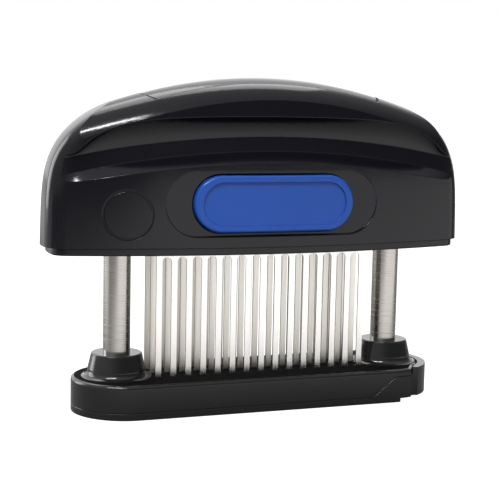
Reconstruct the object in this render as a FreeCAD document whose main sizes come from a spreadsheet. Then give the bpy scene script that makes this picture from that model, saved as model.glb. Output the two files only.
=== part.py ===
import FreeCAD, Part
import math
import os

import Sketcher

Vector = FreeCAD.Vector
doc = FreeCAD.newDocument("BladeTenderizer")

# Driving dimensions in millimetres, X along the handle, front at -Y, Z up
dimensions = {
    "baseHalfLength": 67.6,
    "baseHalfWidth": 19.15,
    "baseTop": 12.0,
    "plateSeam": 2.6,
    "rampStart": 39.5,
    "rampEnd": 48.3,
    "blockTop": 9.5,
    "lugInnerRadius": 16.0,
    "bossTop": 20.3,
    "bossTopRadius": 9.0,
    "bossFootRadius": 10.2,
    "bossFlareRadius": 12.6,
    "columnSpacing": 103.4,
    "columnRadius": 4.76,
    "columnBore": 4.05,
    "columnFoot": 2.8,
    "columnTop": 68.5,
    "capRadius": 6.3,
    "springFoot": 10.0,
    "springLength": 47.0,
    "springRadius": 3.3,
    "springWire": 0.8,
    "springTurns": 15.0,
    "bladePitch": 5.5,
    "bladeWidth": 2.1,
    "bladeCount": 15.0,
    "bladeThickness": 0.6,
    "bladeTip": 3.2,
    "bladePoint": 2.4,
    "bandFoot": 54.4,
    "bandTop": 69.0,
    "rowSpacing": 7.1,
    "slotWidth": 1.5,
    "slotLength": 3.2,
    "rimFoot": 55.9,
    "coverFoot": 58.5,
    "holderTop": 69.0,
    "holderHalfLength": 43.5,
    "holderHalfWidth": 9.0,
    "coverHalfLength": 78.3,
    "coverHalfWidth": 19.6,
    "frontBow": 283.0,
    "crownTop": 116.7,
    "crownArch": 166.5,
    "coverWall": 2.3,
    "panelThickness": 1.6,
    "buttonHeight": 73.6,
    "buttonHalfLength": 29.45,
    "buttonHalfHeight": 9.85,
    "buttonFace": 20.3,
    "pocketHalfLength": 39.3,
    "pocketHalfHeight": 11.3,
    "pocketFloor": 16.5,
    "plungeTravel": 33.0,
    "slideTravel": 6.0,
}

sheet = doc.addObject("Spreadsheet::Sheet", "Dimensions")
for row, (alias, value) in enumerate(dimensions.items(), start=1):
    sheet.set("A%d" % row, alias)
    sheet.set("B%d" % row, str(value))
    sheet.setAlias("B%d" % row, alias)
doc.recompute()


def size(alias):
    return float(sheet.get(alias))


def bind(feature, prop, formula):
    words = formula.replace("(", " ( ").replace(")", " ) ").split()
    named = [asCell(word) for word in words]
    feature.setExpression(prop, " ".join(named))


def asCell(word):
    bare = word.lstrip("-")
    return word.replace(bare, "Dimensions." + bare) if bare in dimensions else word


def newBody(label):
    body = doc.addObject("PartDesign::Body", "Body_" + label)
    body.Label = label
    return body


def originPlane(body, role):
    return next(plane for plane in body.Origin.OriginFeatures if plane.Role == role)


def newSketch(body, name, role="XY_Plane", height=None):
    sketch = body.newObject("Sketcher::SketchObject", body.Label + "_" + name)
    sketch.AttachmentSupport = [(originPlane(body, role), "")]
    sketch.MapMode = "FlatFace"
    if height:
        bind(sketch, "AttachmentOffset.Base.z", height)
    return sketch


# An arc through three points, counter-clockwise as a sketch keeps it
def arcThrough(start, middle, end):
    circle = Part.Arc(start, middle, end).toShape().Curve
    centre = circle.Center
    turn = (middle - start).cross(end - middle).z
    first, last = (start, end) if turn > 0 else (end, start)
    angles = [math.atan2(point.y - centre.y, point.x - centre.x) for point in (first, last)]
    if angles[1] < angles[0]:
        angles[1] += 2 * math.pi
    upright = Part.Circle(centre, Vector(0, 0, 1), circle.Radius)
    return Part.ArcOfCircle(upright, angles[0], angles[1])


# A closed path of lines and arcs, each given by its 2 or 3 points
def addPath(sketch, pieces):
    first = len(sketch.Geometry)
    ends = []
    for points in pieces:
        if len(points) == 2:
            sketch.addGeometry(Part.LineSegment(*points), False)
            ends.append((1, 2))
        else:
            arc = arcThrough(*points)
            sketch.addGeometry(arc, False)
            forward = arc.StartPoint.distanceToPoint(points[0]) < 1e-6
            ends.append((1, 2) if forward else (2, 1))
    count = len(pieces)
    for index in range(count):
        after = (index + 1) % count
        sketch.addConstraint(Sketcher.Constraint(
            "Coincident", first + index, ends[index][1], first + after, ends[after][0]))
    return first


def addPolygon(sketch, corners):
    points = [Vector(x, y, 0) for x, y in corners]
    following = points[1:] + points[:1]
    return addPath(sketch, list(zip(points, following)))


def addRectangle(sketch, left, bottom, right, top):
    first = addPolygon(
        sketch, [(left, bottom), (right, bottom), (right, top), (left, top)]
    )
    for side in (0, 2):
        sketch.addConstraint(Sketcher.Constraint("Horizontal", first + side))
        sketch.addConstraint(Sketcher.Constraint("Vertical", first + side + 1))
    return first


def addCircle(sketch, x, y, radius, formula):
    index = sketch.addGeometry(Part.Circle(Vector(x, y, 0), Vector(0, 0, 1), radius), False)
    sketch.addConstraint(Sketcher.Constraint("DistanceX", -1, 1, index, 3, x))
    sketch.addConstraint(Sketcher.Constraint("DistanceY", -1, 1, index, 3, y))
    number = sketch.addConstraint(Sketcher.Constraint("Radius", index, radius))
    bind(sketch, "Constraints[%d]" % number, formula)
    return index


def addStadium(sketch, halfLength, halfWidth, centre=(0.0, 0.0)):
    x, y = centre
    reach = halfLength - halfWidth
    points = [
        Vector(x - reach, y - halfWidth, 0),
        Vector(x + reach, y - halfWidth, 0),
        Vector(x + reach, y + halfWidth, 0),
        Vector(x - reach, y + halfWidth, 0),
    ]
    return addPath(sketch, [
        (points[0], points[1]),
        (points[1], Vector(x + halfLength, y, 0), points[2]),
        (points[2], points[3]),
        (points[3], Vector(x - halfLength, y, 0), points[0]),
    ])


def pad(body, sketch, name, length, backwards=False):
    feature = body.newObject("PartDesign::Pad", body.Label + "_" + name)
    feature.Profile = sketch
    bind(feature, "Length", length)
    feature.Reversed = backwards
    doc.recompute()
    return feature


def pocket(body, sketch, name, length=None, both=False, backwards=False):
    feature = body.newObject("PartDesign::Pocket", body.Label + "_" + name)
    feature.Profile = sketch
    if length:
        bind(feature, "Length", length)
    else:
        feature.Type = "ThroughAll"
    feature.Midplane = both
    feature.Reversed = backwards
    before = body.Shape.Volume
    doc.recompute()
    if body.Shape.Volume > before - 0.01:
        raise RuntimeError(feature.Name + " cuts nothing")
    return feature


def pattern(body, feature, name, length, occurrences):
    row = body.newObject("PartDesign::LinearPattern", body.Label + "_" + name)
    row.Originals = [feature]
    row.Direction = (originAxis(body), [""])
    bind(row, "Length", length)
    bind(row, "Occurrences", occurrences)
    body.Tip = row
    doc.recompute()
    return row


def originAxis(body, role="X_Axis"):
    return next(axis for axis in body.Origin.OriginFeatures if axis.Role == role)


def codedPiece(label, shape, place=Vector(0, 0, 0)):
    piece = doc.addObject("Part::Feature", label)
    piece.Label = label
    piece.Shape = shape
    piece.Placement = FreeCAD.Placement(place, FreeCAD.Rotation())
    return piece


columnX = size("columnSpacing") / 2
endCentre = size("baseHalfLength") - size("baseHalfWidth")


# The plan of the base, a slot shape with round ends
def baseOutline(sketch):
    addStadium(sketch, size("baseHalfLength"), size("baseHalfWidth"))


# The lug is what lies outside this line, on the base's right end
def lugOutline(sketch, gap):
    radius = size("lugInnerRadius") + gap
    angle = math.radians(50)
    foot = Vector(endCentre + radius * math.cos(angle), -radius * math.sin(angle), 0)
    head = Vector(foot.x, -foot.y, 0)
    start = Vector(53.6 + gap, -size("baseHalfWidth") - 1, 0)
    corner = Vector(size("baseHalfLength") + 2, start.y, 0)
    pieces = [
        (start, foot),
        (foot, Vector(endCentre + radius, 0, 0), head),
        (head, Vector(start.x, -start.y, 0)),
        (Vector(start.x, -start.y, 0), Vector(corner.x, -corner.y, 0)),
        (Vector(corner.x, -corner.y, 0), corner),
        (corner, start),
    ]
    addPath(sketch, pieces)


def edgesAt(shape, test):
    return ["Edge%d" % (i + 1) for i, edge in enumerate(shape.Edges) if test(edge)]


def roundEdges(body, name, radius, test):
    base = body.Tip
    fillet = body.newObject("PartDesign::Fillet", body.Label + "_" + name)
    fillet.Base = (base, edgesAt(base.Shape, test))
    fillet.Radius = radius
    doc.recompute()
    return fillet


# Base plate: moulded, with 45 blade slots and two bored bosses
def makeBasePlate():
    body = newBody("base_plate")
    outline = newSketch(body, "outline", height="plateSeam")
    baseOutline(outline)
    pad(body, outline, "slab", "baseTop - plateSeam")

    lowerSide = newSketch(body, "ramp", "XZ_Plane")
    seam = size("plateSeam")
    reach = size("baseHalfLength") + 3
    addPolygon(lowerSide, [
        (size("rampStart"), seam), (size("rampStart"), seam - 1), (reach, seam - 1),
        (reach, size("blockTop")), (size("rampEnd"), size("blockTop")),
    ])
    pocket(body, lowerSide, "ramp_cut", both=True)

    lug = newSketch(body, "lug", height="baseTop")
    lugOutline(lug, 0.0)
    pocket(body, lug, "lug_cut")

    roundEdges(body, "top_round", 1.3, lambda edge: edge.BoundBox.ZMin > size("baseTop") - 0.01)

    for side, x in (("left", -columnX), ("right", columnX)):
        profile = newSketch(body, side + "_boss", "XZ_Plane")
        sign = "-" if x < 0 else ""
        bind(profile, "AttachmentOffset.Base.x", sign + "columnSpacing / 2")
        bossProfile(profile)
        boss = body.newObject("PartDesign::Revolution", "base_plate_%s_boss_turn" % side)
        boss.Profile = profile
        boss.ReferenceAxis = (profile, ["V_Axis"])
        doc.recompute()

    bores = newSketch(body, "bores", height="bossTop")
    for x in (-columnX, columnX):
        addCircle(bores, x, 0, size("columnRadius") + 0.02, "columnRadius + 0.02")
    pocket(body, bores, "bore_cut")

    slots = newSketch(body, "slots", height="bossTop")
    first = -(size("bladeCount") - 1) / 2 * size("bladePitch")
    halfLength = size("slotLength") / 2
    halfWidth = size("slotWidth") / 2
    for row in (-1, 0, 1):
        y = row * size("rowSpacing")
        addRectangle(slots, first - halfLength, y - halfWidth, first + halfLength, y + halfWidth)
    slotCut = pocket(body, slots, "slot_cut")
    pattern(body, slotCut, "slot_rows", "( bladeCount - 1 ) * bladePitch", "bladeCount")
    return body


# A boss: flared foot, tapered wall and a small round at the rim
def bossProfile(sketch):
    top = size("bossTop")
    table = size("baseTop")
    foot = Vector(size("bossFlareRadius"), table, 0)
    flareTop = Vector(size("bossFootRadius"), table + 2.6, 0)
    flareMiddle = Vector(size("bossFootRadius") + 0.75, table + 0.75, 0)
    rimSide = Vector(size("bossTopRadius"), top - 0.6, 0)
    rimTop = Vector(size("bossTopRadius") - 0.6, top, 0)
    rimMiddle = Vector(rimSide.x - 0.17, top - 0.17, 0)
    pieces = [
        (Vector(0, table - 2, 0), Vector(foot.x, table - 2, 0)),
        (Vector(foot.x, table - 2, 0), foot),
        (foot, flareMiddle, flareTop),
        (flareTop, rimSide),
        (rimSide, rimMiddle, rimTop),
        (rimTop, Vector(0, top, 0)),
        (Vector(0, top, 0), Vector(0, table - 2, 0)),
    ]
    addPath(sketch, pieces)


# Slide plate: locks the column feet, with a pull lug at the right end
def makeSlidePlate():
    body = newBody("slide_plate")
    outline = newSketch(body, "outline")
    baseOutline(outline)
    pad(body, outline, "slab", "blockTop - 0.15")

    upperSide = newSketch(body, "ramp", "XZ_Plane")
    reach = size("baseHalfLength") + 3
    gap = 0.15
    addPolygon(upperSide, [
        (-reach, size("plateSeam") - gap), (size("rampStart"), size("plateSeam") - gap),
        (size("rampEnd"), size("blockTop") - gap), (size("rampEnd"), size("blockTop") + 1),
        (-reach, size("blockTop") + 1),
    ])
    pocket(body, upperSide, "ramp_cut", both=True)

    lug = newSketch(body, "lug", height="baseTop")
    lugRing(lug, 0.3)
    pad(body, lug, "lug_pad", "baseTop - blockTop + 1", backwards=True)

    grips = newSketch(body, "grips")
    for side in (-1, 1):
        angle = math.radians(63.5)
        x = endCentre + (size("baseHalfWidth") + 0.9) * math.cos(angle)
        y = side * (size("baseHalfWidth") + 0.9) * math.sin(angle)
        addCircle(grips, x, y, 2.1, "2.1")
    pocket(body, grips, "grip_cut", backwards=True)

    window = newSketch(body, "window")
    addRectangle(window, -46.5, -12.0, 40.3, 12.0)
    pocket(body, window, "window_cut", backwards=True)

    keyholes = newSketch(body, "keyholes")
    for x in (-columnX, columnX):
        keyholeOutline(keyholes, x, 3.3, 4.3)
    pocket(body, keyholes, "keyhole_cut", backwards=True)

    recesses = newSketch(body, "recesses")
    travel = size("slideTravel")
    for x in (-columnX, columnX):
        addStadium(recesses, travel / 2 + 4.4, 4.4, (x - travel / 2, 0))
    pocket(body, recesses, "recess_cut", "plateSeam - 1.4", backwards=True)

    well = newSketch(body, "well", height="plateSeam - 0.15")
    wellOutline(well)
    pocket(body, well, "well_cut", backwards=True)

    sole = newSketch(body, "sole")
    soleOutline(sole)
    pocket(body, sole, "sole_cut", "1.4", backwards=True)
    return body


# The lug's own plan, inside the base's round end
def lugRing(sketch, gap):
    inner = size("lugInnerRadius") + gap
    outer = size("baseHalfWidth")
    angle = math.radians(50)
    foot = Vector(endCentre + inner * math.cos(angle), -inner * math.sin(angle), 0)
    startX = 55.1 + gap
    depth = math.sqrt(outer ** 2 - (startX - endCentre) ** 2)
    start = Vector(startX, -depth, 0)
    pieces = [
        (start, foot),
        (foot, Vector(endCentre + inner, 0, 0), Vector(foot.x, -foot.y, 0)),
        (Vector(foot.x, -foot.y, 0), Vector(startX, depth, 0)),
        (Vector(startX, depth, 0), Vector(endCentre + outer, 0, 0), start),
    ]
    addPath(sketch, pieces)


# A round hole for the foot, and the narrow slot that holds its neck
def keyholeOutline(sketch, x, neck, hole):
    far = x - size("slideTravel")
    join = far + math.sqrt(hole ** 2 - neck ** 2)
    pieces = [
        (Vector(join, -neck, 0), Vector(x, -neck, 0)),
        (Vector(x, -neck, 0), Vector(x + neck, 0, 0), Vector(x, neck, 0)),
        (Vector(x, neck, 0), Vector(join, neck, 0)),
        (Vector(join, neck, 0), Vector(far - hole, 0, 0),
                               Vector(join, -neck, 0)),
    ]
    addPath(sketch, pieces)


# Room in the thick right end for the right column
def wellOutline(sketch):
    width = size("columnRadius") + 0.4
    left = 40.0
    pieces = [
        (Vector(left, -width, 0), Vector(columnX, -width, 0)),
        (Vector(columnX, -width, 0), Vector(columnX + width, 0, 0),
                               Vector(columnX, width, 0)),
        (Vector(columnX, width, 0), Vector(left, width, 0)),
        (Vector(left, width, 0), Vector(left, -width, 0)),
    ]
    addPath(sketch, pieces)


# The end's underside is lifted round its rim, so that fingers reach under the lug
def soleOutline(sketch):
    start = 50.5
    inner = 13.5
    reach = size("baseHalfLength") + 2
    side = size("baseHalfWidth") + 2
    depth = math.sqrt(inner ** 2 - (start - endCentre) ** 2)
    pieces = [
        (Vector(start, -side, 0), Vector(start, -depth, 0)),
        (Vector(start, -depth, 0), Vector(endCentre + inner, 0, 0),
                               Vector(start, depth, 0)),
        (Vector(start, depth, 0), Vector(start, side, 0)),
        (Vector(start, side, 0), Vector(reach, side, 0)),
        (Vector(reach, side, 0), Vector(reach, -side, 0)),
        (Vector(reach, -side, 0), Vector(start, -side, 0)),
    ]
    addPath(sketch, pieces)


# A turned piece round a column's axis, from a profile of radius and height
def turnedPiece(label, x, profile):
    body = newBody(label)
    sketch = newSketch(body, "profile", "XZ_Plane")
    addPolygon(sketch, profile)
    turn = body.newObject("PartDesign::Revolution", label + "_turn")
    turn.Profile = sketch
    turn.ReferenceAxis = (sketch, ["V_Axis"])
    doc.recompute()
    body.Placement = FreeCAD.Placement(Vector(x, 0, 0), FreeCAD.Rotation())
    return body


def makeColumn(side, x):
    outer = size("columnRadius")
    inner = size("columnBore")
    foot = size("columnFoot")
    top = size("columnTop")
    cap = size("capRadius")
    pieces = [turnedPiece(side + "_column", x, [
        (inner, foot + 0.4), (outer - 0.4, foot), (outer, foot + 0.4),
        (outer, top - 0.4), (outer - 0.4, top), (inner, top),
    ])]
    pieces.append(turnedPiece(side + "_column_plug", x, [
        (0, 0.4), (4.0, 0.4), (4.0, 1.15), (2.9, 1.15), (2.9, foot - 0.05),
        (inner, foot + 0.4), (inner, size("springFoot")), (0, size("springFoot")),
    ]))
    pieces.append(turnedPiece(side + "_column_cap", x, [
        (2.9, top - 6), (inner, top - 6), (inner, top), (cap, top),
        (cap, top + 1.4), (cap - 0.6, top + 2), (2.9, top + 2),
    ]))
    pieces.append(turnedPiece(side + "_bumper_washer", x, [
        (outer + 0.04, top - 1), (6.2, top - 1), (6.2, top), (outer + 0.04, top),
    ]))
    return pieces


def makeBush(side, x):
    bore = size("columnRadius") + 0.06
    return turnedPiece(side + "_bush", x, [
        (bore + 0.4, size("rimFoot")), (6.0, size("rimFoot")), (6.0, size("columnTop") - 1.4),
        (bore + 0.4, size("columnTop") - 1.4), (bore, size("columnTop") - 1.8),
        (bore, size("rimFoot") + 0.4),
    ])


def makeSpringGuide(side, x):
    top = size("springFoot") + size("springLength")
    return turnedPiece(side + "_spring_guide", x, [
        (0, top - 2), (1.8, top - 2), (1.8, top), (3.75, top), (3.75, top + 3),
        (2.5, top + 4.5), (2.5, 105.2), (0, 105.2),
    ])


# Two arcs that join two points smoothly, given the direction of travel at each
def twoArcs(start, startWay, end, endWay):
    across = end - start
    both = startWay + endWay
    spread = 2 * (1 - startWay.dot(endWay))
    lean = across.dot(both)
    reach = (math.sqrt(lean * lean + spread * across.dot(across)) - lean) / spread
    join = (start + end + (startWay - endWay) * reach) * 0.5
    arcs = []
    for near, way, far in ((start, startWay, join), (end, endWay * -1, join)):
        corner = near + way * reach
        chordMiddle = (near + far) * 0.5
        rise = corner - chordMiddle
        half = (far - near).Length / 2
        share = half / (half + reach)
        middle = chordMiddle + rise * share
        if near is start:
            arcs.append(Part.Arc(near, middle, far).toShape())
        else:
            arcs.append(Part.Arc(far, middle, near).toShape())
    return arcs


# How high the spring's wire has climbed after some turns: the end turns lie closer
def springClimb(turn, turns, length):
    endPitch = 1.3
    pitch = (length - 2 * endPitch) / (turns - 2)
    if turn < 1:
        return endPitch * turn
    if turn > turns - 1:
        return length - endPitch * (turns - turn)
    return endPitch + pitch * (turn - 1)


# A compression spring, one unbroken tube swept along arcs of a quarter turn
def makeSpring(side, x):
    turns = size("springTurns")
    wire = size("springWire") / 2
    radius = size("springRadius")
    length = size("springLength") - 2 * wire
    halves = int(2 * turns)
    points = []
    ways = []
    for step in range(halves + 1):
        turn = step / 2
        sign = 1 if step % 2 == 0 else -1
        before = springClimb(max(turn - 0.5, 0), turns, length)
        after = springClimb(min(turn + 0.5, turns), turns, length)
        slope = (after - before) / (min(turn + 0.5, turns) - max(turn - 0.5, 0))
        points.append(Vector(radius * sign, 0, springClimb(turn, turns, length)))
        ways.append(Vector(0, 2 * math.pi * radius * sign, slope).normalize())
    edges = []
    for step in range(halves):
        edges += twoArcs(points[step], ways[step], points[step + 1], ways[step + 1])
    path = Part.Wire(edges)
    circle = Part.Wire([Part.makeCircle(wire, points[0], ways[0])])
    coil = path.makePipeShell([circle], True, True)
    return codedPiece(side + "_spring", coil, Vector(x, 0, size("springFoot") + wire))


# A blade strip: one stamped plate with 15 teeth, each ground to a point
def makeBladeStrip(label, y):
    body = newBody(label)
    pitch = size("bladePitch")
    width = size("bladeWidth")
    tip = size("bladeTip")
    halfLength = (size("bladeCount") - 1) / 2 * pitch + width / 2
    blank = newSketch(body, "blank", "XZ_Plane")
    addRectangle(blank, -halfLength, tip, halfLength, size("bandTop"))
    plate = pad(body, blank, "plate", "bladeThickness")
    plate.Midplane = True

    gap = newSketch(body, "gap", "XZ_Plane")
    left = -halfLength + width
    right = left + pitch - width
    radius = (right - left) / 2
    crown = size("bandFoot") - radius
    addPath(gap, [
        (Vector(left, tip - 1, 0), Vector(right, tip - 1, 0)),
        (Vector(right, tip - 1, 0), Vector(right, crown, 0)),
        (Vector(right, crown, 0), Vector(left + radius, crown + radius, 0),
                               Vector(left, crown, 0)),
        (Vector(left, crown, 0), Vector(left, tip - 1, 0)),
    ])
    gapCut = pocket(body, gap, "gap_cut", both=True)
    pattern(body, gapCut, "gaps", "( bladeCount - 2 ) * bladePitch", "bladeCount - 1")

    point = newSketch(body, "point", "XZ_Plane")
    start = -halfLength
    addPolygon(point, [
        (start - 0.2, tip - 0.3), (start + width + 0.2, tip - 0.3),
        (start - 0.2, tip + size("bladePoint")),
    ])
    pointCut = pocket(body, point, "point_cut", both=True)
    pattern(body, pointCut, "points", "( bladeCount - 1 ) * bladePitch", "bladeCount")
    body.Placement = FreeCAD.Placement(Vector(0, y, 0), FreeCAD.Rotation())
    return body


def makeSpacer(label, y):
    bar = doc.addObject("Part::Box", label)
    bar.Label = label
    bind(bar, "Length", "( bladeCount - 1 ) * bladePitch + bladeWidth")
    bind(bar, "Width", "rowSpacing - bladeThickness")
    bind(bar, "Height", "bandTop - 57")
    halfLength = (size("bladeCount") - 1) / 2 * size("bladePitch") + size("bladeWidth") / 2
    halfWidth = (size("rowSpacing") - size("bladeThickness")) / 2
    bar.Placement = FreeCAD.Placement(Vector(-halfLength, y - halfWidth, 57), FreeCAD.Rotation())
    return bar


# The handle's plan: bowed long sides, round corners and shallow bowed ends
def handlePlan(halfLength, halfWidth, corner, height):
    bow = size("frontBow")
    endBow = 60.0
    front = Part.Circle(Vector(0, bow - halfWidth, 0), Vector(0, 0, 1), bow)
    end = Part.Circle(Vector(halfLength - endBow, 0, 0), Vector(0, 0, 1), endBow)
    frontCentre = front.Center
    endCentrePoint = end.Center
    frontReach = bow - corner
    endReach = endBow - corner
    gapX = endCentrePoint.x - frontCentre.x
    gapY = endCentrePoint.y - frontCentre.y
    apart = math.hypot(gapX, gapY)
    along = (frontReach ** 2 - endReach ** 2 + apart ** 2) / (2 * apart)
    across = math.sqrt(frontReach ** 2 - along ** 2)
    unitX = gapX / apart
    unitY = gapY / apart
    cornerX = frontCentre.x + unitX * along - unitY * across
    cornerY = frontCentre.y + unitY * along + unitX * across
    if cornerX < 0 or cornerY > 0:
        cornerX = frontCentre.x + unitX * along + unitY * across
        cornerY = frontCentre.y + unitY * along - unitX * across
    centre = Vector(cornerX, cornerY, 0)
    onFront = centre + (centre - frontCentre).normalize() * corner
    onEnd = centre + (centre - endCentrePoint).normalize() * corner
    away = ((onFront - centre) + (onEnd - centre)).normalize() * corner
    onCorner = centre + away

    def place(point, flipX, flipY):
        return Vector(point.x * flipX, point.y * flipY, height)

    edges = [Part.Arc(place(onFront, -1, 1), Vector(0, -halfWidth, height),
                      place(onFront, 1, 1))]
    edges.append(Part.Arc(place(onFront, 1, 1), place(onCorner, 1, 1), place(onEnd, 1, 1)))
    edges.append(Part.Arc(place(onEnd, 1, 1), Vector(halfLength, 0, height),
                          place(onEnd, 1, -1)))
    edges.append(Part.Arc(place(onEnd, 1, -1), place(onCorner, 1, -1), place(onFront, 1, -1)))
    edges.append(Part.Arc(place(onFront, 1, -1), Vector(0, halfWidth, height),
                          place(onFront, -1, -1)))
    edges.append(Part.Arc(place(onFront, -1, -1), place(onCorner, -1, -1),
                          place(onEnd, -1, -1)))
    edges.append(Part.Arc(place(onEnd, -1, -1), Vector(-halfLength, 0, height),
                          place(onEnd, -1, 1)))
    edges.append(Part.Arc(place(onEnd, -1, 1), place(onCorner, -1, 1), place(onFront, -1, 1)))
    return Part.Wire([edge.toShape() for edge in edges])


# How far the plan's long sides draw in at a distance from the middle
def bowDrop(x):
    return x * x / (2 * size("frontBow"))


# The cover's plans at even heights: the ends lean in a little, then round over
def coverLevels(inset=0.0, corner=7.5):
    plans = []
    for step in range(13):
        rise = step * 5.0
        part = rise / 50.0
        halfLength = size("coverHalfLength") - 1.2 * part - 24.0 * part ** 4.7
        halfWidth = size("coverHalfWidth") - 0.3 * part - 2.0 * part ** 3
        height = size("coverFoot") + rise
        plans.append(handlePlan(halfLength - inset, halfWidth - inset, corner, height))
    return plans


# The crown: cross-sections along the arch, narrower where the plan is narrower
def crownSolid(drop, inset):
    sections = []
    for step in range(-8, 9):
        x = step * 10.0
        top = size("crownTop") - drop - x * x / (2 * size("crownArch"))
        share = 1 - bowDrop(x) / size("coverHalfWidth")
        shoulder = (18.6 - inset) * share
        knee = (16.4 - inset) * share
        brow = (9.6 - inset) * share
        ends = [(-shoulder, top - 45), (-shoulder, top - 13.5), (-brow, top - 1.6),
                (brow, top - 1.6), (shoulder, top - 13.5), (shoulder, top - 45)]
        points = [Vector(x, y, z) for y, z in ends]
        sections.append(Part.Wire([
            Part.LineSegment(points[0], points[1]).toShape(),
            Part.Arc(points[1], Vector(x, -knee, top - 6.2), points[2]).toShape(),
            Part.Arc(points[2], Vector(x, 0, top), points[3]).toShape(),
            Part.Arc(points[3], Vector(x, knee, top - 6.2), points[4]).toShape(),
            Part.LineSegment(points[4], points[5]).toShape(),
            Part.LineSegment(points[5], points[0]).toShape(),
        ]))
    return Part.makeLoft(sections, True, False)


# The finger groove: an undercut lip, a wall and a bevelled ledge, fading at the ends
def fingerGroove(side):
    sections = []
    for step in range(-19, 20):
        x = step * 4.0
        reach = abs(x) / 74.0
        fade = max(1 - reach ** 5, 0.02)
        edge = size("coverHalfWidth") - bowDrop(x)
        outside = -side * (edge + 7)
        lip = 103.5 - 0.0006 * x * x - 11.0 * (abs(x) / 69.8) ** 7
        floor = 96.5 - x * x / 700
        wallFoot = 91.5 - x * x / 640
        ledge = 86.9 - x * x / 680
        lip = max(lip, floor + 0.8)
        lipEdge = -side * (edge - 1.0 - 0.8 * fade)
        deep = -side * (edge - 1.0 - 5.2 * fade)
        shallow = -side * (edge - 0.8 - 4.2 * fade)
        brink = -side * (edge + 0.2)
        middle = Vector(x, (lipEdge + deep) / 2 + side * 0.8 * fade, (lip + floor) / 2)
        ends = [(outside, lip + 0.3), (lipEdge, lip), (deep, floor), (shallow, wallFoot),
                (brink, ledge), (outside, ledge - 0.5)]
        points = [Vector(x, y, z) for y, z in ends]
        edges = [Part.LineSegment(points[0], points[1]).toShape(),
                 Part.Arc(points[1], middle, points[2]).toShape()]
        for a, b in zip(points[2:], points[3:] + points[:1]):
            edges.append(Part.LineSegment(a, b).toShape())
        sections.append(Part.Wire(edges))
    return Part.makeLoft(sections, True, False)


def coverBlank():
    body = Part.makeLoft(coverLevels(), True, False)
    skirt = Part.makeBox(200, 60, 90, Vector(-100, -30, size("coverFoot") - 61))
    upper = body.cut(skirt)
    lower = body.common(skirt)
    return lower.fuse(upper.common(crownSolid(0, 0))).removeSplitter()


def ovalPrism(halfLength, halfHeight, front, back):
    z = size("buttonHeight")
    reach = halfLength - halfHeight
    corners = [Vector(-reach, front, z - halfHeight), Vector(reach, front, z - halfHeight),
               Vector(reach, front, z + halfHeight), Vector(-reach, front, z + halfHeight)]
    edges = [
        Part.LineSegment(corners[0], corners[1]).toShape(),
        Part.Arc(corners[1], Vector(halfLength, front, z), corners[2]).toShape(),
        Part.LineSegment(corners[2], corners[3]).toShape(),
        Part.Arc(corners[3], Vector(-halfLength, front, z), corners[0]).toShape(),
    ]
    return Part.Face(Part.Wire(edges)).extrude(Vector(0, back - front, 0))


# The top panel's plan: straight sides and bowed ends
def panelPrism(grow):
    half = 10.2 + grow
    corner = 41.4 + grow
    tip = 44.8 + grow
    low = 90.0
    points = [Vector(-corner, -half, low), Vector(corner, -half, low),
              Vector(corner, half, low), Vector(-corner, half, low)]
    edges = [
        Part.LineSegment(points[0], points[1]).toShape(),
        Part.Arc(points[1], Vector(tip, 0, low), points[2]).toShape(),
        Part.LineSegment(points[2], points[3]).toShape(),
        Part.Arc(points[3], Vector(-tip, 0, low), points[0]).toShape(),
    ]
    return Part.Face(Part.Wire(edges)).extrude(Vector(0, 0, 40))


def makeCoverAndPanel():
    blank = coverBlank()
    for side in (1, -1):
        blank = blank.cut(fingerGroove(side))
    under = crownSolid(size("panelThickness"), 0)
    panel = blank.common(panelPrism(0)).cut(under)
    recess = panelPrism(0.12).cut(under)
    cover = blank.cut(recess)
    cover = cover.cut(coverCavity())
    for side in (1, -1):
        cover = cover.cut(ovalPrism(size("pocketHalfLength"), size("pocketHalfHeight"),
                                    -30 * side, -size("pocketFloor") * side))
        cover = cover.cut(ovalPrism(size("buttonHalfLength") + 0.35,
                                    size("buttonHalfHeight") + 0.35, -30 * side, -5 * side))
        cover = cover.cut(roundelRing(side))
    for x in (-columnX, columnX):
        socket = Part.makeCylinder(4.0, 8.0, Vector(x, 0, 103.9))
        socket = socket.common(crownSolid(1.0, 1.0))
        cover = cover.fuse(socket)
        cover = cover.cut(Part.makeCylinder(2.5, 1.3, Vector(x, 0, 103.9)))
    return [codedPiece("handle_cover", cover), codedPiece("top_panel", panel)]


# A plain raised ring, left of the button on each face
def roundelRing(side):
    centre = Vector(-51.8 * side, 0, 70.0)
    outer = Part.makeCylinder(8.6, 30, centre, Vector(0, -side, 0))
    inner = Part.makeCylinder(7.9, 30, centre, Vector(0, -side, 0))
    ring = outer.cut(inner)
    width = size("coverHalfWidth") - 0.1
    bow = size("frontBow")
    keep = Part.makeCylinder(bow - 0.45, 40, Vector(0, (bow - width) * side, 55),
                             Vector(0, 0, 1))
    return ring.cut(keep)


# The room inside: wide below for the blade holder, with two wells above for the columns
def coverCavity():
    wall = size("coverWall")
    foot = size("coverFoot")
    low = handlePlan(size("coverHalfLength") - wall, size("coverHalfWidth") - wall, 5.0, foot - 1)
    high = handlePlan(size("coverHalfLength") - 4 - wall, size("coverHalfWidth") - wall - 1.0,
                      5.0, foot + 27)
    lower = Part.makeLoft([low, high], True, True)
    padDepth = 13.2
    for side in (1, -1):
        corner = Vector(-42, padDepth if side > 0 else -padDepth - 10, foot)
        lower = lower.cut(Part.makeBox(84, 10, 40, corner))
    middle = Part.makeBox(84, 17, 27, Vector(-42, -8.5, foot + 21.5))
    upright = [edge for edge in middle.Edges if edge.BoundBox.ZLength > 20]
    middle = middle.makeFillet(3.0, upright)
    well = size("capRadius") + 1.0
    wellTop = size("columnTop") + 2 + size("plungeTravel") + 0.4
    for x in (-columnX, columnX):
        middle = middle.fuse(Part.makeCylinder(well, wellTop - foot - 20, Vector(x, 0, foot + 20)))
    return lower.fuse(middle)


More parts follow.
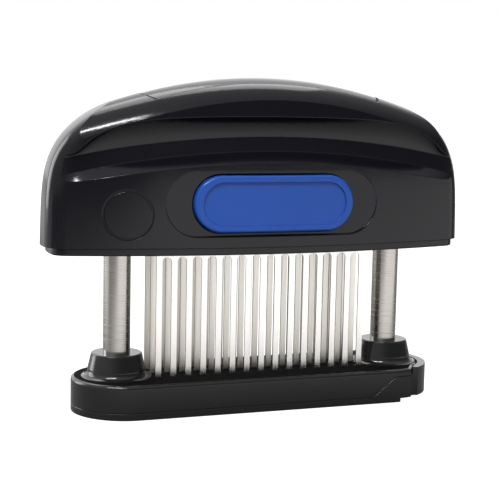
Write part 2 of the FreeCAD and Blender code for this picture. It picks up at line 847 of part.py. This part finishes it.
# The carriage: the rim under the cover, the blade holder and the bush housings
def makeCarriage():
    foot = size("rimFoot")
    seat = size("coverFoot")
    top = size("holderTop")
    plan = handlePlan(size("coverHalfLength") - 2.1, size("coverHalfWidth") - 0.7, 5.5, foot)
    rim = Part.Face(plan).extrude(Vector(0, 0, seat - foot))
    lowEdges = [edge for edge in rim.Edges if edge.BoundBox.ZMax < foot + 0.01]
    rim = rim.makeFillet(0.6, lowEdges)
    halfLength = size("holderHalfLength")
    halfWidth = size("holderHalfWidth")
    holder = Part.makeBox(2 * halfLength, 2 * halfWidth, top - seat,
                          Vector(-halfLength, -halfWidth, seat))
    carriage = rim.fuse(holder)
    for x in (-columnX, columnX):
        carriage = carriage.fuse(Part.makeCylinder(8.2, size("columnTop") - 1.4 - seat,
                                                   Vector(x, 0, seat)))
    for x in (-columnX, columnX):
        carriage = carriage.cut(Part.makeCylinder(6.0, 40, Vector(x, 0, foot - 1)))
    bladeHalf = (size("bladeCount") - 1) / 2 * size("bladePitch") + size("bladeWidth") / 2
    packHalf = size("rowSpacing") + size("bladeThickness") / 2
    carriage = carriage.cut(Part.makeBox(2 * bladeHalf, 2 * packHalf, 20,
                                         Vector(-bladeHalf, -packHalf, 57)))
    for row in (-1, 0, 1):
        y = row * size("rowSpacing") - size("bladeThickness") / 2
        carriage = carriage.cut(Part.makeBox(2 * bladeHalf, size("bladeThickness"), 10,
                                             Vector(-bladeHalf, y, foot - 5)))
    carriage = carriage.cut(clampScrewHoles())
    return codedPiece("carriage", carriage.removeSplitter())


def clampScrewPlaces():
    x = size("holderHalfLength") - 1.95
    return [(sign * x, side * 6.0) for sign in (-1, 1) for side in (-1, 1)]


def clampScrewHoles():
    top = size("holderTop")
    holes = [Part.makeCylinder(1.0, 12, Vector(x, y, top - 8)) for x, y in clampScrewPlaces()]
    return holes[0].fuse(holes[1:])


# The clamp closes the blade pack, held by four screws
def makeClampAndScrews():
    top = size("holderTop")
    halfLength = size("holderHalfLength")
    halfWidth = size("holderHalfWidth")
    plate = Part.makeBox(2 * halfLength, 2 * halfWidth, 2.4, Vector(-halfLength, -halfWidth, top))
    upright = [edge for edge in plate.Edges if edge.BoundBox.ZLength > 2]
    plate = plate.makeFillet(1.5, upright)
    rib = Part.makeBox(2 * halfLength - 14, 2.4, 4.0, Vector(-halfLength + 7, -1.2, top + 2.4))
    plate = plate.fuse(rib).cut(clampScrewHoles())
    screws = []
    for x, y in clampScrewPlaces():
        shank = Part.makeCylinder(1.0, 10.4, Vector(x, y, top - 8))
        head = Part.makeCylinder(1.8, 1.4, Vector(x, y, top + 2.4))
        slot = Part.makeBox(4, 0.6, 0.7, Vector(x - 2, y - 0.3, top + 3.2))
        screws.append(shank.fuse(head).cut(slot).removeSplitter())
    return [codedPiece("blade_clamp", plate.removeSplitter()),
            codedPiece("clamp_screws", Part.makeCompound(screws))]


# A release button: a bowed oval face with a raised rim, a stem and an inner flange
def makeButton(label, side):
    bow = size("frontBow")
    face = size("buttonFace")
    bowed = Part.makeCylinder(bow, 60, Vector(0, (bow - face) * side, 50), Vector(0, 0, 1))
    dished = Part.makeCylinder(bow - 0.7, 60, Vector(0, (bow - face) * side, 50),
                               Vector(0, 0, 1))
    halfLength = size("buttonHalfLength")
    halfHeight = size("buttonHalfHeight")
    cap = ovalPrism(halfLength, halfHeight, -30 * side, -12.9 * side).common(bowed)
    frontEdges = [edge for edge in cap.Edges if abs(edge.CenterOfMass.y) > 17]
    cap = cap.makeFillet(1.0, frontEdges)
    well = ovalPrism(halfLength - 2.9, halfHeight - 2.3, -30 * side, -14 * side).cut(dished)
    flange = ovalPrism(halfLength + 2.2, halfHeight + 1.0, -12.9 * side, -11.7 * side)
    button = cap.cut(well).fuse(flange)
    return codedPiece(label, button.removeSplitter())


makeBasePlate()
makeSlidePlate()
for side, x in (("left", -columnX), ("right", columnX)):
    makeColumn(side, x)
    makeBush(side, x)
    makeSpringGuide(side, x)
    makeSpring(side, x)
rowY = size("rowSpacing")
for name, y in (("front", -rowY), ("middle", 0.0), ("rear", rowY)):
    makeBladeStrip(name + "_blade_strip", y)
makeSpacer("front_blade_spacer", -rowY / 2)
makeSpacer("rear_blade_spacer", rowY / 2)
makeCarriage()
makeClampAndScrews()
makeCoverAndPanel()
makeButton("front_button", 1)
makeButton("rear_button", -1)
doc.recompute()

os.makedirs("parts", exist_ok=True)
inner = ("Sketcher::", "Spreadsheet::", "App::")
for thing in doc.Objects:
    if "Invalid" in thing.State or "Error" in thing.State:
        raise RuntimeError(thing.Name + " is invalid")
    if thing.TypeId.startswith(inner) or (
        thing.TypeId.startswith("PartDesign::") and thing.TypeId != "PartDesign::Body"
    ):
        continue
    shape = thing.Shape
    if shape.isNull() or not shape.isValid():
        raise RuntimeError(thing.Label + " has no valid shape")
    shape.exportStep("parts/%s.step" % thing.Label)
    print(thing.Label, "solids", len(shape.Solids), "volume", round(shape.Volume, 1))
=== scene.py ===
import bpy
import math
from mathutils import Matrix, Vector


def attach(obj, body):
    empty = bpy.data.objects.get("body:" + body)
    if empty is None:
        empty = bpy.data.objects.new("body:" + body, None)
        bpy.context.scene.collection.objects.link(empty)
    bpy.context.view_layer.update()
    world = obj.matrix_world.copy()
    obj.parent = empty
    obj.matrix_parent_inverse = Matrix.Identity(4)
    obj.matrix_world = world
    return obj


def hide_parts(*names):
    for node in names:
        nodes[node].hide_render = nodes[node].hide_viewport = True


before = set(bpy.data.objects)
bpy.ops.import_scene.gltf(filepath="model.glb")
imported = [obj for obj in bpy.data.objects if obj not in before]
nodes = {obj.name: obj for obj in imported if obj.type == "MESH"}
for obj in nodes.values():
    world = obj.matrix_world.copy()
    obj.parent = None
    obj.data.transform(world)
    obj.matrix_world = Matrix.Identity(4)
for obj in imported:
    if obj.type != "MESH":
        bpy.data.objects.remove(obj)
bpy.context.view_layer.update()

scene = bpy.context.scene
mm = 0.001
print("frame loaded", len(nodes), "nodes")


def newGroup(name, inputs, outputs):
    group = bpy.data.node_groups.new(name, "ShaderNodeTree")
    for label, kind, value in inputs:
        socket = group.interface.new_socket(name=label, in_out="INPUT", socket_type=kind)
        socket.default_value = value
    for label, kind in outputs:
        group.interface.new_socket(name=label, in_out="OUTPUT", socket_type=kind)
    entry = group.nodes.new("NodeGroupInput")
    leave = group.nodes.new("NodeGroupOutput")
    return group, entry, leave


# first and second are sockets or plain numbers
def mathNode(tree, operation, first, second):
    node = tree.nodes.new("ShaderNodeMath")
    node.operation = operation
    for socket, value in zip(node.inputs, (first, second)):
        if isinstance(value, (int, float)):
            socket.default_value = value
        else:
            tree.links.new(value, socket)
    return node.outputs[0]


def noiseNode(tree, vector, scale, detail):
    node = tree.nodes.new("ShaderNodeTexNoise")
    node.inputs["Scale"].default_value = scale
    node.inputs["Detail"].default_value = detail
    tree.links.new(vector, node.inputs["Vector"])
    return node.outputs["Fac"]


# goes smoothly from least to most while the value goes from start to end
def smoothRange(tree, value, start, end, least, most):
    node = tree.nodes.new("ShaderNodeMapRange")
    node.interpolation_type = "SMOOTHSTEP"
    node.inputs["From Min"].default_value = start
    node.inputs["From Max"].default_value = end
    node.inputs["To Min"].default_value = least
    node.inputs["To Max"].default_value = most
    tree.links.new(value, node.inputs["Value"])
    return node.outputs["Result"]


# moulded plastic: a fine grain, and patches where it is a little duller or shinier
def makeMouldGroup():
    group, entry, leave = newGroup(
        "mouldedPlastic",
        [("Roughness", "NodeSocketFloat", 0.25),
         ("Grain", "NodeSocketFloat", 0.3),
         ("Patches", "NodeSocketFloat", 0.05)],
        [("Roughness", "NodeSocketFloat"), ("Height", "NodeSocketFloat")])
    place = group.nodes.new("ShaderNodeTexCoord")
    fine = noiseNode(group, place.outputs["Object"], scale=2600, detail=2)
    broad = noiseNode(group, place.outputs["Object"], scale=60, detail=4)
    centred = mathNode(group, "SUBTRACT", broad, 0.5)
    spread = mathNode(group, "MULTIPLY", centred, entry.outputs["Patches"])
    rough = mathNode(group, "ADD", spread, entry.outputs["Roughness"])
    height = mathNode(group, "MULTIPLY", fine, entry.outputs["Grain"])
    group.links.new(rough, leave.inputs["Roughness"])
    group.links.new(height, leave.inputs["Height"])
    return group


# steel with lines: the larger an axis's number in Fineness, the finer it is lined along that axis
def makeSteelGroup():
    group, entry, leave = newGroup(
        "linedSteel",
        [("Colour", "NodeSocketColor", (0.6, 0.6, 0.6, 1)),
         ("Roughness", "NodeSocketFloat", 0.25),
         ("Lines", "NodeSocketFloat", 0.2),
         ("Fineness", "NodeSocketVector", (4, 4, 6000))],
        [("Colour", "NodeSocketColor"), ("Roughness", "NodeSocketFloat"),
         ("Height", "NodeSocketFloat")])
    place = group.nodes.new("ShaderNodeTexCoord")
    stretch = group.nodes.new("ShaderNodeVectorMath")
    stretch.operation = "MULTIPLY"
    group.links.new(place.outputs["Object"], stretch.inputs[0])
    group.links.new(entry.outputs["Fineness"], stretch.inputs[1])
    lines = noiseNode(group, stretch.outputs[0], scale=1, detail=3)
    centred = mathNode(group, "SUBTRACT", lines, 0.5)
    spread = mathNode(group, "MULTIPLY", centred, entry.outputs["Lines"])
    rough = mathNode(group, "ADD", spread, entry.outputs["Roughness"])
    shade = mathNode(group, "MULTIPLY", spread, 0.8)
    bright = mathNode(group, "ADD", shade, 1.0)
    tint = group.nodes.new("ShaderNodeVectorMath")
    tint.operation = "SCALE"
    group.links.new(entry.outputs["Colour"], tint.inputs[0])
    group.links.new(bright, tint.inputs["Scale"])
    group.links.new(tint.outputs[0], leave.inputs["Colour"])
    group.links.new(rough, leave.inputs["Roughness"])
    group.links.new(lines, leave.inputs["Height"])
    return group


mouldGroup = makeMouldGroup()
steelGroup = makeSteelGroup()

finishes = {
    "coverBlack": {
        "group": mouldGroup, "colour": (0.0055, 0.005, 0.008, 1),
        "metallic": 0.0, "specular": 0.34, "bump": 0.12, "edge": 0.4 * mm,
        "effect": {"Roughness": 0.13, "Grain": 0.7, "Patches": 0.05},
        "pieces": ["handle_cover", "top_panel", "carriage", "blade_clamp"]},
    "baseBlack": {
        "group": mouldGroup, "colour": (0.01, 0.01, 0.01, 1),
        "metallic": 0.0, "specular": 0.5, "bump": 0.05, "edge": 0.4 * mm,
        "effect": {"Roughness": 0.16, "Grain": 0.2, "Patches": 0.04},
        "pieces": ["base_plate", "slide_plate", "left_column_cap", "right_column_cap"]},
    "buttonBlue": {
        "group": mouldGroup, "colour": (0.014, 0.085, 0.44, 1),
        "metallic": 0.0, "specular": 0.34, "bump": 0.05, "edge": 0.35 * mm,
        "effect": {"Roughness": 0.25, "Grain": 0.2, "Patches": 0.03},
        "pieces": ["front_button", "rear_button"]},
    "innerNylon": {
        "group": mouldGroup, "colour": (0.7, 0.7, 0.66, 1),
        "metallic": 0.0, "specular": 0.5, "bump": 0.05, "edge": 0.0,
        "effect": {"Roughness": 0.45, "Grain": 0.3, "Patches": 0.05},
        "pieces": ["left_bush", "right_bush", "left_spring_guide", "right_spring_guide",
                   "front_blade_spacer", "rear_blade_spacer"]},
    "washerRubber": {
        "group": mouldGroup, "colour": (0.02, 0.02, 0.02, 1),
        "metallic": 0.0, "specular": 0.5, "bump": 0.05, "edge": 0.0,
        "effect": {"Roughness": 0.7, "Grain": 0.6, "Patches": 0.1},
        "pieces": ["left_bumper_washer", "right_bumper_washer"]},
    "columnSteel": {
        "group": steelGroup, "colour": (0.5, 0.475, 0.44, 1),
        "metallic": 1.0, "specular": 0.5, "bump": 0.14, "edge": 0.0,
        "effect": {"Roughness": 0.2, "Lines": 0.8, "Fineness": (3, 3, 2600)},
        "pieces": ["left_column", "right_column", "left_column_plug", "right_column_plug",
                   "clamp_screws"]},
    "bladeSteel": {
        "group": steelGroup, "colour": (0.93, 0.9, 0.87, 1),
        "metallic": 1.0, "specular": 0.5, "bump": 0.03, "edge": 0.0,
        "effect": {"Roughness": 0.26, "Lines": 0.12, "Fineness": (4000, 4000, 20)},
        "pieces": ["front_blade_strip"]},
    "paintedShadeSteel": {                                   # painted shade: coloured darker than the front strip, as the strips further in look, for the shade the front strip casts on them
        "group": steelGroup, "colour": (0.85, 0.82, 0.76, 1),
        "metallic": 1.0, "specular": 0.5, "bump": 0.04, "edge": 0.0,
        "effect": {"Roughness": 0.32, "Lines": 0.3, "Fineness": (3000, 3000, 30)},
        "pieces": ["middle_blade_strip", "rear_blade_strip"]},
    "stampedEdgeAndShade": {                                   # only on the strips' sheared edges, below; rougher, as stamped edges are, and coloured near black as painted shade
        "group": steelGroup, "colour": (0.1, 0.095, 0.09, 1),
        "metallic": 1.0, "specular": 0.5, "bump": 0.1, "edge": 0.0,
        "effect": {"Roughness": 0.5, "Lines": 0.4, "Fineness": (900, 900, 900)},
        "pieces": []},
    "springSteel": {
        "group": steelGroup, "colour": (0.35, 0.35, 0.35, 1),
        "metallic": 1.0, "specular": 0.5, "bump": 0.05, "edge": 0.0,
        "effect": {"Roughness": 0.3, "Lines": 0.1, "Fineness": (500, 500, 500)},
        "pieces": ["left_spring", "right_spring"]},
    "tableShadeBlack": {                                    # only on the base's table, below; darker and with less sheen than the base, as painted shade
        "group": mouldGroup, "colour": (0.003, 0.003, 0.003, 1),
        "metallic": 0.0, "specular": 0.04, "bump": 0.05, "edge": 0.0,
        "effect": {"Roughness": 0.85, "Grain": 0.5, "Patches": 0.05},
        "pieces": []},
}


def newMaterial(name, finish):
    material = bpy.data.materials.new(name)
    material.use_nodes = True
    tree = material.node_tree
    shader = tree.nodes["Principled BSDF"]
    shader.inputs["Base Color"].default_value = finish["colour"]
    shader.inputs["Metallic"].default_value = finish["metallic"]
    shader.inputs["Specular IOR Level"].default_value = finish["specular"]
    effect = tree.nodes.new("ShaderNodeGroup")
    effect.node_tree = finish["group"]
    for label, value in finish["effect"].items():
        effect.inputs[label].default_value = value
    if finish["group"] == steelGroup:                  # its lines change the colour too
        effect.inputs["Colour"].default_value = finish["colour"]
        tree.links.new(effect.outputs["Colour"], shader.inputs["Base Color"])
    tree.links.new(effect.outputs["Roughness"], shader.inputs["Roughness"])
    relief = tree.nodes.new("ShaderNodeBump")
    relief.inputs["Strength"].default_value = finish["bump"]
    relief.inputs["Distance"].default_value = 0.1 * mm
    tree.links.new(effect.outputs["Height"], relief.inputs["Height"])
    if finish["edge"] > 0:
        rounding = tree.nodes.new("ShaderNodeBevel")   # rounded edges catch the light
        rounding.samples = 6
        rounding.inputs["Radius"].default_value = finish["edge"]
        tree.links.new(rounding.outputs["Normal"], relief.inputs["Normal"])
    tree.links.new(relief.outputs["Normal"], shader.inputs["Normal"])
    return material


materials = {name: newMaterial(name, finish) for name, finish in finishes.items()}
print("materials made")

for name, finish in finishes.items():
    for piece in finish["pieces"]:
        for slot in nodes[piece].material_slots:
            slot.material = materials[name]


# gives the faces that fit a test a second material
def coatFaces(piece, name, fits):
    mesh = nodes[piece].data
    mesh.materials.append(materials[name])
    for face in mesh.polygons:
        if fits(face):
            face.material_index = len(mesh.materials) - 1


# the base's table between the bosses, drawn darker and duller than the base's sides: painted
# shade, for the shade among the blades
tableTop = {
    "height": 12 * mm,
    "slack": 0.05 * mm,
}


def onTable(face):
    return face.normal.z > 0.99 and abs(face.center.z - tableTop["height"]) < tableTop["slack"]


def isSheared(face):
    return abs(face.normal.y) < 0.5                    # not one of a strip's flat sides


# painted shade: the table's darker, duller black stands for shade, not for another plastic
coatFaces("base_plate", "tableShadeBlack", onTable)
# the sheared edges' near-black colour is painted shade along the blades' edges and gaps
for row in ("front", "middle", "rear"):
    coatFaces(row + "_blade_strip", "stampedEdgeAndShade", isSheared)

# the inset panel, drawn in a little so that its seam shows
topPanel = {
    "draw": (0.6 * mm, 0.6 * mm),
    "halfSize": (44.8 * mm, 10.2 * mm),
}


def makeTopPanel():
    mesh = nodes["top_panel"].data.copy()
    shares = [1 - draw / half for draw, half in zip(topPanel["draw"], topPanel["halfSize"])]
    for vertex in mesh.vertices:
        vertex.co.x *= shares[0]
        vertex.co.y *= shares[1]
    piece = bpy.data.objects.new("topPanel", mesh)
    scene.collection.objects.link(piece)
    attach(piece, "handle")
    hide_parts("top_panel")


makeTopPanel()
print("materials given to the CAD nodes")

# the photograph's view, in metres, degrees and pixels of its frame
photoView = {
    "place": (-0.16886, -0.44662, 0.11652),
    "azimuth": 20.435,     # round to the left of the front
    "elevation": 7.346,    # above the horizon
    "roll": 1.189,
    "focal": 1332.2,
    "frame": 500,
    "nearest": 0.01,       # nothing closer than this is drawn
}


def makeCamera():
    data = bpy.data.cameras.new("photoCamera")
    data.sensor_fit = "HORIZONTAL"
    data.sensor_width = 36
    data.lens = photoView["focal"] * data.sensor_width / photoView["frame"]
    data.clip_start = photoView["nearest"]
    camera = bpy.data.objects.new("photoCamera", data)
    scene.collection.objects.link(camera)
    azimuth = math.radians(photoView["azimuth"])
    elevation = math.radians(photoView["elevation"])
    roll = math.radians(photoView["roll"])
    back = Vector((-math.sin(azimuth) * math.cos(elevation),
                   -math.cos(azimuth) * math.cos(elevation), math.sin(elevation)))
    right = Vector((math.cos(azimuth), -math.sin(azimuth), 0))
    up = back.cross(right)
    rolledRight = right * math.cos(roll) + up * math.sin(roll)
    rolledUp = up * math.cos(roll) - right * math.sin(roll)
    pose = Matrix((rolledRight, rolledUp, back)).transposed().to_4x4()
    pose.translation = Vector(photoView["place"])
    camera.matrix_world = pose
    scene.camera = camera


makeCamera()

# the room that the object mirrors: along each axis, where its light starts to rise, where
# it is full, and how bright it is at the two
room = {
    "X": (0.2, -1.0, 0.14, 0.6),
    "Y": (0.3, 0.9, 0.0, 1.2),
    "Z": (0.3, 1.0, 0.0, 0.6),
}


# plain white for the camera, and the room for everything else
def makeWorld():
    world = bpy.data.worlds.new("studio")
    scene.world = world
    world.use_nodes = True
    tree = world.node_tree
    place = tree.nodes.new("ShaderNodeTexCoord")
    split = tree.nodes.new("ShaderNodeSeparateXYZ")
    tree.links.new(place.outputs["Generated"], split.inputs[0])
    alongX, alongY, alongZ = [smoothRange(tree, split.outputs[axis], *values)
                              for axis, values in room.items()]
    total = mathNode(tree, "ADD", mathNode(tree, "ADD", alongX, alongY), alongZ)
    walls = tree.nodes["Background"]
    tree.links.new(total, walls.inputs["Color"])
    paper = tree.nodes.new("ShaderNodeBackground")
    paper.inputs["Color"].default_value = (1, 1, 1, 1)
    paper.inputs["Strength"].default_value = 1.0
    path = tree.nodes.new("ShaderNodeLightPath")
    mix = tree.nodes.new("ShaderNodeMixShader")
    tree.links.new(path.outputs["Is Camera Ray"], mix.inputs["Fac"])
    tree.links.new(walls.outputs["Background"], mix.inputs[1])
    tree.links.new(paper.outputs["Background"], mix.inputs[2])
    tree.links.new(mix.outputs["Shader"], tree.nodes["World Output"].inputs["Surface"])


makeWorld()

# the floor, in metres: each glow rises from nothing at the first place along an axis to its
# full strength, the third number, at the second
floorPaper = {
    "reach": 40.0,
    "height": -0.05 * mm,                              # a hair under the sole
    "colour": (0.2, 0.2, 0.2, 1),
    "roughness": 0.6,
    "frontGlow": {"X": (-0.3, 0.02, 1.05), "Y": (0.0, -0.16, 1.0)},
    "backLeftGlow": {"X": (-0.08, -0.3, 0.62), "Y": (-0.06, 0.06, 1.0)},
}


def floorGlow(tree, split, glow):
    acrossX, acrossY = [smoothRange(tree, split.outputs[axis], start, end, 0.0, most)
                        for axis, (start, end, most) in glow.items()]
    return mathNode(tree, "MULTIPLY", acrossX, acrossY)


# the camera sees plain white, with no shadow; the glows show only in reflections
def makeFloor():
    mesh = bpy.data.meshes.new("floor")
    reach, height = floorPaper["reach"], floorPaper["height"]
    corners = [(x * reach, y * reach, height) for x, y in ((-1, -1), (1, -1), (1, 1), (-1, 1))]
    mesh.from_pydata(corners, [], [(0, 1, 2, 3)])
    floor = bpy.data.objects.new("floor", mesh)
    scene.collection.objects.link(floor)
    material = bpy.data.materials.new("floorPaper")
    material.use_nodes = True
    tree = material.node_tree
    shader = tree.nodes["Principled BSDF"]
    shader.inputs["Base Color"].default_value = floorPaper["colour"]
    shader.inputs["Roughness"].default_value = floorPaper["roughness"]
    shader.inputs["Specular IOR Level"].default_value = 0.0
    shader.inputs["Emission Color"].default_value = (1, 1, 1, 1)
    path = tree.nodes.new("ShaderNodeLightPath")
    place = tree.nodes.new("ShaderNodeTexCoord")
    split = tree.nodes.new("ShaderNodeSeparateXYZ")
    tree.links.new(place.outputs["Object"], split.inputs[0])
    glows = mathNode(tree, "ADD", floorGlow(tree, split, floorPaper["frontGlow"]),
                     floorGlow(tree, split, floorPaper["backLeftGlow"]))
    mirrored = mathNode(tree, "MULTIPLY", glows, path.outputs["Is Glossy Ray"])
    total = mathNode(tree, "ADD", mirrored, path.outputs["Is Camera Ray"])
    tree.links.new(total, shader.inputs["Emission Strength"])
    mesh.materials.append(material)


makeFloor()

# azimuths in degrees round from the front, positive to the right; sizes in metres, power in watts
lamps = {
    "leftSoftbox": {"azimuth": -130, "elevation": 15, "distance": 1.2, "size": (0.5, 0.8),
                    "power": 5, "mirrored": True},
    "topLeftStrip": {"azimuth": -42, "elevation": 52, "distance": 1.2, "size": (0.6, 0.07),
                     "power": 9, "mirrored": True},
    "backSoftbox": {"azimuth": 175, "elevation": 60, "distance": 1.3, "size": (1.3, 0.7),
                    "power": 9, "mirrored": True},
    "frontFill": {"azimuth": 10, "elevation": 25, "distance": 1.4, "size": (1.0, 0.5),
                  "power": 3, "mirrored": False},
}
lampTarget = Vector((0, 0, 60 * mm))                   # about the middle of the object


def makeLamp(name, lamp):
    data = bpy.data.lights.new(name, "AREA")
    data.shape = "RECTANGLE"
    data.size, data.size_y = lamp["size"]
    data.energy = lamp["power"]
    light = bpy.data.objects.new(name, data)
    scene.collection.objects.link(light)
    turn = math.radians(lamp["azimuth"])
    lift = math.radians(lamp["elevation"])
    away = Vector((math.sin(turn) * math.cos(lift), -math.cos(turn) * math.cos(lift),
                   math.sin(lift)))
    light.location = lampTarget + away * lamp["distance"]
    light.rotation_euler = (-away).to_track_quat("-Z", "Y").to_euler()
    light.visible_glossy = lamp["mirrored"]


for name, lamp in lamps.items():
    makeLamp(name, lamp)
scene.view_settings.view_transform = "Standard"

print("stage set")
